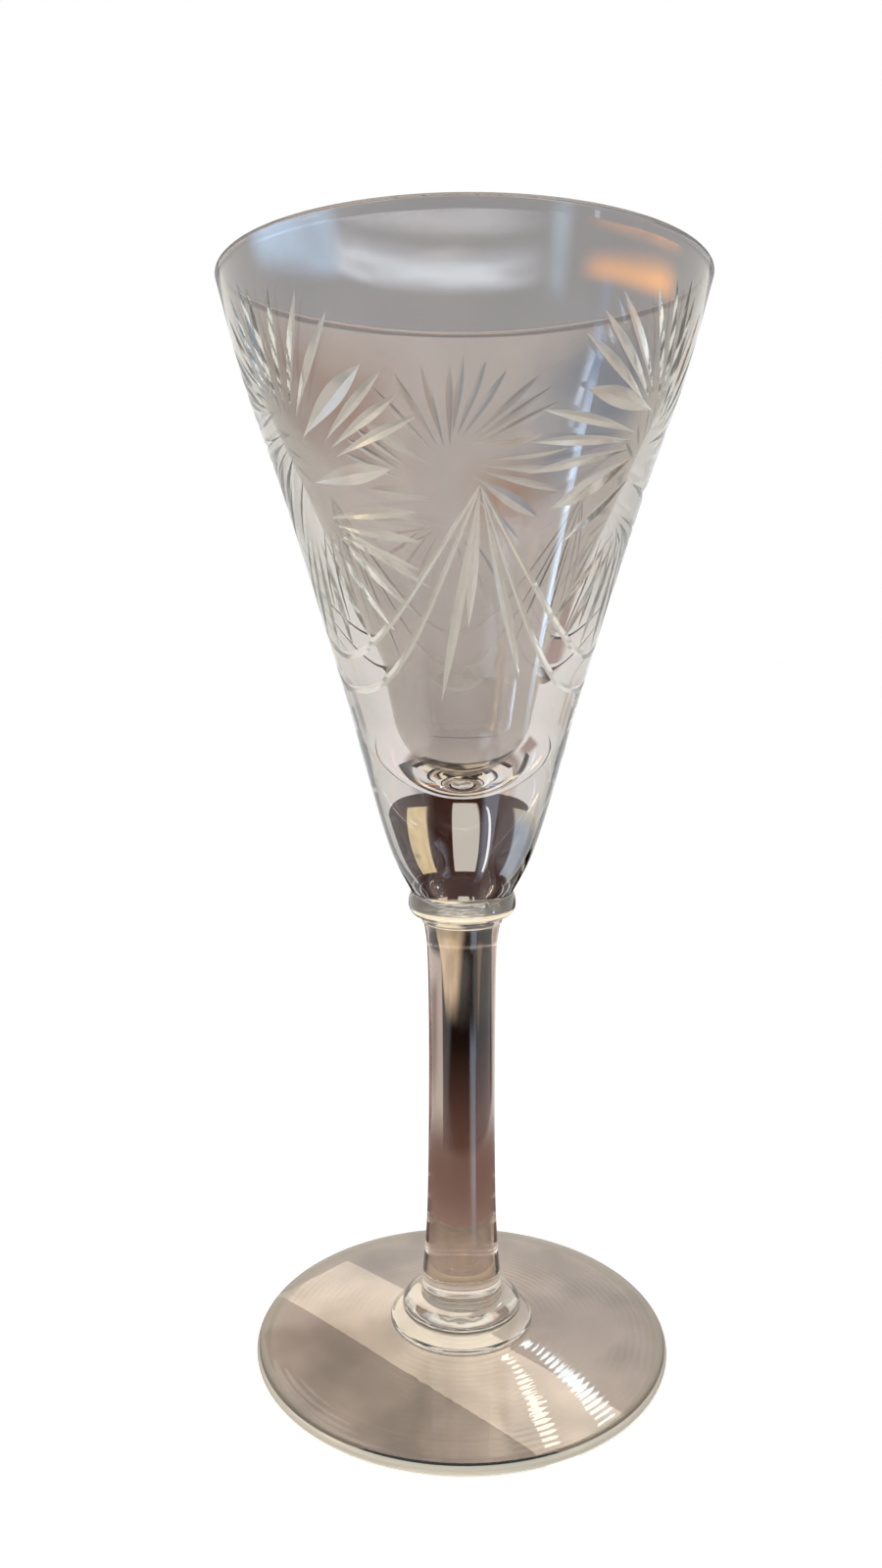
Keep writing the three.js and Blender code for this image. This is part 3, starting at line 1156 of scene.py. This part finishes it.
@dataclass
class Studio:
    """A plain pale floor, a white background, soft lamps, glowing cards that paint reflections
    and shade into the glass, and the camera.
    """

    target: Corner = (0.0, 0.0, 0.1)
    camera_place: Corner = (0.0, -0.1967, 0.1232)
    camera_pitch: float = 6.91
    camera_turn: float = 1.05
    focal_share: float = 1203.0 / 1600.0
    fill: float = 0.5
    floor_lift: float = 0.56
    cloud_scale: float = 3.2
    ring_segments: int = 96
    # Painted reflections and painted shade: these cards glow in the glass as the room's windows
    # and walls, and the dark ones stand where there is only shade.
    cards: tuple[Card, ...] = (
        Card("brown_card_base", on_slope((-8, 28.5), (13, 26.3), (38, 45), (-22, 57),
                                         lift=0.0), "#3E1C13"),
        Card("cream_card_base", on_slope((2.7, 32.7), (5.7, 30.6), (15, 40), (9, 47.5)),
             "#FCE7B5", 1.15, soft=(0.08, 0.02), clouds=0.2),
        Card("pale_card_base", on_slope((-1, 32), (0.6, 32), (2.8, 52), (-5.2, 52)),
             "#F4F2EA", 1.05, soft=(0.04, 0.02)),
        Card("bright_line_base", on_slope((-1.7, 33), (-2.0, 33), (-7.8, 48.5), (-6.9, 48.8)),
             "#FFFFFF", 1.4, soft=(0.2, 0.04)),
        Card("blue_card_base", on_slope((-4.5, 31.5), (-16, 25.5), (-32, 28), (-17.5, 46)),
             "#A9BFD8", start_colour="#EDE9D4", fade=0.5, soft=(0.05, 0.02), clouds=0.3),
        Card("brown_card_neck", upright(12.6, (-12, 12), (84.6, 87.8)), "#3A1A10",
             soft=(0.02, 0.06)),
        Card("pale_card_collar", upright(12.8, (-12, 12), (75.6, 84.4)), "#FFF3DE", 1.25,
             soft=(0.1, 0.1)),
        Card("cream_card_stem", standing(30, (1, 48), (9, 48), (17, 77.5), (-3, 77.5)),
             "#FFF6DA", 1.6, soft=(0.2, 0.3), clouds=0.3),
        Card("dark_card_stem", standing(31, (-50, 20), (13, 20), (13, 77.5), (-20, 77.5)),
             "#1E1714", start_colour="#8A6C64", fade=0.5, soft=(0.02, 0.06)),
        Card("dark_card_head", standing(31, (12.8, 61), (52, 61), (30, 77.5), (12.8, 77.5)),
             "#2A211D", soft=(0.02, 0.3)),
        Card("pink_card_stem", on_floor((45, 80), (90, 25), (260, 110), (150, 240)),
             "#BBA299", soft=(0.3, 0.3)),
        Card("olive_card_stem", standing(30, (-9.6, 44), (-9.2, 44), (-7, 71), (-12, 71)),
             "#9A855F", soft=(0.3, 0.15)),
        Card("brown_mat_front", on_floor((-110, -55), (110, -55), (150, -210), (-150, -210),
                                         level=0.4), "#3E2C24", soft=(0.15, 0.3)),
        Card("window_strip_floor", on_floor((182, -84), (192, -59), (860, -266), (816, -379)),
             "#4E6074", 18.0, start_colour="#C8E2FF", fade=0.55, soft=(0.3, 0.15)),
        Card("blue_strip_front", on_floor((17, -42), (34, -29), (145, -122), (77, -174)),
             "#CFDDF2", 4.0, soft=(0.28, 0.25)),
        Card("window_card_front", upright(-500, (-980, 420), (46, 94)), "#E8EEF6", 10.5,
             soft=(0.24, 0.42), clouds=0.45),
        Card("window_card_left", ((-500, -420, 66), (-500, 150, 190), (-500, 150, 240),
                                  (-500, -420, 120)), "#B8DCFF", 8.0, soft=(0.25, 0.4),
             clouds=0.3),
        Card("window_card_right", ((350, -530, 30), (470, -410, 30), (470, -410, 130),
                                   (350, -530, 130)), "#C2E0F0", 4.5, soft=(0.5, 0.4)),
        Card("warm_card_right", ((500, -440, 66), (500, 220, 181), (500, 220, 211),
                                 (500, -440, 96)), "#FFAC4A", 9.0, soft=(0.3, 0.5)),
        Card("blue_haze_back", upright(300, (15, 130), (120, 249)), "#93ABCA",
             soft=(0.4, 0.4), clouds=0.4),
        Card("amber_haze_back", upright(303, (-8, 66), (118, 172)), "#DDB28A",
             soft=(0.5, 0.5)),
        Card("warm_haze_back", upright(300, (-140, -10), (130, 241)), "#D6B6A4",
             soft=(0.4, 0.4), clouds=0.5),
    )
    # Painted shade: a brown ring on the floor darkens what the stem and the bowl's base show of
    # the floor, and a grey ring above the rim shades the lip.
    ring_cards: tuple[RingCard, ...] = (
        RingCard("brown_mat_painted_shade", ((36.2, 0.3), (110.0, 0.3)), ("#B59C95", "#A38982"),
                 (41.0, 80.0), 75.0),
        RingCard("grey_ring_card", ((120.0, 196.8), (150.0, 330.0)), ("#ADAFB4", "#ADAFB4"),
                 (120.0, 121.0)),
    )
    lamps: tuple[SoftBox, ...] = (
        SoftBox("key_lamp", (-0.5, -0.7, 0.9), 0.3, 0.25, 7.0, "#F2F6FF", in_gloss=False),
        SoftBox("front_lamp", (-0.15, -1.0, 0.16), 0.3, 0.2, 9.0, "#FFF0D4", in_gloss=False),
        SoftBox("side_lamp", (0.8, -0.5, 0.35), 0.04, 0.5, 8.0, "#DCE9FF"),
        SoftBox("warm_lamp", (-0.6, -0.25, 0.3), 0.1, 0.1, 10.0, "#FFDDA0"),
        SoftBox("back_lamp_near", (0.122, 0.78, 0.735), 0.022, 0.08, 9.0, "#FFF2E0", 17.0),
        SoftBox("back_lamp_far", (0.185, 0.82, 0.68), 0.03, 0.085, 9.0, "#DDF6FF", 34.0),
    )
    strip: PaperStrip = field(default_factory=PaperStrip)

    def build(self) -> None:
        """Builds the studio."""
        self.build_world()
        self.build_floor()
        self.build_strip()
        for card in self.cards:
            self.build_card(card)
        for ring in self.ring_cards:
            self.build_ring_card(ring)
        for lamp in self.lamps:
            self.build_lamp(lamp)
        self.build_camera()

    def build_world(self) -> None:
        """White to the eye, in gloss and through glass; a plain soft fill on the object."""
        world = bpy.data.worlds.new("studio_world")
        bpy.context.scene.world = world
        world.use_nodes = True
        world.node_tree.nodes.clear()
        add = partial(add_node, world.node_tree)
        strength = add("MapRange", {"To Min": self.fill, "To Max": 1.0},
                       {"Value": self.seen(add)})
        light = add("Background", {"Color": WHITE}, {"Strength": strength})
        add("OutputWorld", None, {"Surface": light})

    def seen(self, add: Adder) -> Node:
        """1 for rays that show the background: camera, glossy or transmission rays.

        Args:
            add: Adds a node to the world or to a material.

        Returns:
            The node that gives the share.
        """
        path = add("LightPath").outputs
        first = add("Math", {"operation": "MAXIMUM"},
                    {0: path["Is Camera Ray"], 1: path["Is Glossy Ray"]})
        return add("Math", {"operation": "MAXIMUM"}, {0: first, 1: path["Is Transmission Ray"]})

    def sheet(self, name: str, points: list, faces: list, material: Material) -> Object:
        """Makes a sheet that belongs to the studio. On a sheet of one face with four
        corners, u runs from 0 to 1 along its first side and v along its second.

        Args:
            name: The object's name.
            points: The corners in metres.
            faces: The corners' numbers in order round each face.
            material: What it is made of.

        Returns:
            The sheet's object.
        """
        mesh = bpy.data.meshes.new(name)
        mesh.from_pydata(points, [], faces)
        if len(faces) == 1:
            mesh.uv_layers.new(name="sides").data.foreach_set("uv", (0, 0, 1, 0, 1, 1, 0, 1))
        mesh.materials.append(material)
        piece = bpy.data.objects.new(name, mesh)
        bpy.context.scene.collection.objects.link(piece)
        return piece

    def lit_paper(self, name: str, colour: str, lift: float) -> Material:
        """Matte paper that the lamps light, lifted by a steady share for rays that show the
        background, so that it meets the white world without an edge.

        Args:
            name: The material's name.
            colour: sRGB hex colour of the paper and of the lift.
            lift: Brightness of the lift.

        Returns:
            The material.
        """
        material, add = new_material(name)
        glow = add("Math", {"operation": "MULTIPLY", 1: lift}, {0: self.seen(add)})
        matte = add("BsdfDiffuse", {"Color": linear(colour)})
        steady = add("Emission", {"Color": linear(colour)}, {"Strength": glow})
        both = add("AddShader", None, {0: matte, 1: steady})
        add("OutputMaterial", None, {"Surface": both})
        return material

    def build_floor(self) -> None:
        """A wide pale floor that keeps the goblet's shadow."""
        size, drop = 4.0, -0.0002
        corners = [(-size, -size, drop), (size, -size, drop), (size, size, drop),
                   (-size, size, drop)]
        self.sheet("studio_floor", corners, [(0, 1, 2, 3)],
                   self.lit_paper("pale_matte_floor", "#FAFAFA", self.floor_lift))

    def build_strip(self) -> None:
        """The glowing strip of paper under the foot, painted light for the pale band in its
        glass.
        """
        strip = self.strip
        self.sheet(strip.name, strip.corners(), [(0, 1, 2, 3)],
                   self.lit_paper("glowing_white_paper", strip.colour, strip.strength))

    def build_card(self, card: Card) -> None:
        """A glowing card that paints reflections and shade into the glass. How solid it is
        follows the distances from its sides, min(u, 1 - u) and min(v, 1 - v), and its clouds.
        Only the side towards the goblet glows; from its back the card isn't there.

        Args:
            card: The card's corners and paint.
        """
        material, add = new_material(f"{card.name}_paper")
        place = add("UVMap", {"uv_map": "sides"})
        sides = add("SeparateXYZ", None, {"Vector": place}).outputs
        share = add("MapRange", {"From Max": card.fade, **SMOOTH}, {"Value": sides["Y"]})
        start = linear(card.start_colour or card.colour)
        shade = add("Mix", {"data_type": "RGBA", 6: start, 7: linear(card.colour)}, {0: share})
        paint = add("Emission", {"Strength": card.strength}, {"Color": shade.outputs[2]})
        noise = add("TexNoise", {"Scale": self.cloud_scale, "Detail": 3.0}, {"Vector": place})
        corners = np.array(card.corners) * MM
        across = np.cross(corners[1] - corners[0], corners[2] - corners[1])
        away = np.dot(across, corners.mean(axis=0) - np.array(GOBLET_MIDDLE) * MM) > 0
        back = add("NewGeometry").outputs["Backfacing"]
        parts = []
        for axis, soft in zip("XY", card.soft):
            inward = add("Math", {"operation": "PINGPONG", 1: 0.5}, {0: sides[axis]})
            parts.append(add("MapRange", {"From Max": soft, **SMOOTH}, {"Value": inward}))
        least = {**NOISE_SPAN, "To Min": 1 - card.clouds}
        parts.append(add("MapRange", least, {"Value": noise}))
        parts.append(add("Math", {"operation": "COMPARE", 1: float(away), 2: 0.5}, {0: back}))
        solid = parts[0]
        for part in parts[1:]:
            solid = add("Math", {"operation": "MULTIPLY"}, {0: solid, 1: part})
        self.finish_card(self.sheet(card.name, corners.tolist(), [(0, 1, 2, 3)], material),
                         add, paint, solid)

    def build_ring_card(self, ring: RingCard) -> None:
        """A glowing card turned round the axis, coloured by its distance from the axis: painted
        shade in the glass.

        Args:
            ring: The card's rims and paint.
        """
        material, add = new_material(f"{ring.name}_paper")
        place = add("TexCoord").outputs["Object"]
        flat = add("VectorMath", {"operation": "MULTIPLY", 1: (1.0, 1.0, 0.0)}, {0: place})
        reach = add("VectorMath", {"operation": "LENGTH"}, {0: flat}).outputs["Value"]
        near, far = (radius * MM for radius in ring.blend)
        share = add("MapRange", {"From Min": near, "From Max": far, **SMOOTH}, {"Value": reach})
        start, end = (linear(colour) for colour in ring.colours)
        mix = add("Mix", {"data_type": "RGBA", 6: start, 7: end}, {0: share})
        paint = add("Emission", None, {"Color": mix.outputs[2]})
        rim = max(ring.rims[1][0], ring.thins_from + 1)
        solid = add("MapRange", {"From Min": ring.thins_from * MM, "From Max": rim * MM,
                                 "To Min": 1.0, "To Max": 0.0, **SMOOTH}, {"Value": reach})
        patch = revolve(np.array(ring.rims), np.zeros(1), self.ring_segments)
        self.finish_card(self.sheet(ring.name, (patch.points * MM).tolist(), patch.faces,
                                    material), add, paint, solid)

    def finish_card(self, piece: Object, add: Adder, paint: Node, solid: Node) -> None:
        """Ends a card's material, its paint where solid is 1 and a gap where it is 0, and
        leaves the card to gloss and glass: no camera sees it, it casts no shadow and lights
        nothing.

        Args:
            piece: The card.
            add: Adds a node to its material.
            paint: The glowing paint.
            solid: How solid the card is.
        """
        gap = add("BsdfTransparent")
        mix = add("MixShader", None, {0: solid, 1: gap, 2: paint})
        add("OutputMaterial", None, {"Surface": mix})
        piece.visible_camera = piece.visible_diffuse = piece.visible_shadow = False

    def build_lamp(self, lamp: SoftBox) -> None:
        """An area lamp turned to the goblet's middle, of power radiance times pi times its
        area.

        Args:
            lamp: The lamp's place, size and light.
        """
        data = bpy.data.lights.new(lamp.name, "AREA")
        data.shape = "RECTANGLE"
        data.size, data.size_y = lamp.width, lamp.height
        data.energy = lamp.radiance * math.pi * lamp.width * lamp.height
        data.color = linear(lamp.colour)[:3]
        piece = bpy.data.objects.new(lamp.name, data)
        bpy.context.scene.collection.objects.link(piece)
        piece.location = lamp.place
        piece.visible_glossy = piece.visible_transmission = lamp.in_gloss
        away = Vector(self.target) - Vector(lamp.place)
        turn = Quaternion((0.0, 0.0, 1.0), math.radians(lamp.roll))
        piece.rotation_euler = (away.to_track_quat("-Z", "Y") @ turn).to_euler()

    def build_camera(self) -> None:
        """The camera at the photograph's place: its lens in 36 mm terms on the long side."""
        data = bpy.data.cameras.new("camera")
        data.sensor_width = 36.0
        data.sensor_fit = "AUTO"
        data.lens = 36.0 * self.focal_share
        data.clip_start, data.clip_end = 0.005, 50.0
        camera = bpy.data.objects.new("camera", data)
        bpy.context.scene.collection.objects.link(camera)
        camera.location = self.camera_place
        camera.rotation_euler = (math.radians(90.0 - self.camera_pitch), 0.0,
                                 math.radians(self.camera_turn))
        bpy.context.scene.camera = camera


def main() -> None:
    """Builds the studio and the goblet, piece by piece, and logs each."""
    logging.basicConfig(level=logging.INFO, format="%(name)s: %(message)s")
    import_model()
    bpy.context.scene.view_settings.view_transform = "Standard"
    Studio().build()
    joint = FusedJoint("fused_glass_joint").build()
    small = LeadCrystal("lead_crystal_tooled", tint="#FFF8E8", clear=0.88, ripple_mm=2.5,
                        ripple_height_mm=0.03).build()
    Foot().build([SpunCrystal("lead_crystal_spun", tint="#C4B5A7", ripple_mm=5.0,
                              unevenness=0.3).build(), joint,
                  # The foot's edge: mostly matte cream, partly dirt's scatter and partly painted
                  # light.
                  WheelCut("lead_crystal_worn_edge", tint="#FFF9E8", clear=0.35,
                           roughness=0.1).build()])
    Knop().build([small, joint])
    # Painted shade: the stem's smoky tint stands in for the dark room seen through it.
    Stem().build([StemCrystalPaintedShade("lead_crystal_drawn", tint="#B5A295").build(), joint])
    Collar().build([small, joint])
    Bowl(CutPattern(Wall())).build([BlownCrystal("lead_crystal_fire_polished").build(),
                                    joint, WheelCut("lead_crystal_wheel_cut").build()])


if __name__ == "__main__":
    main()
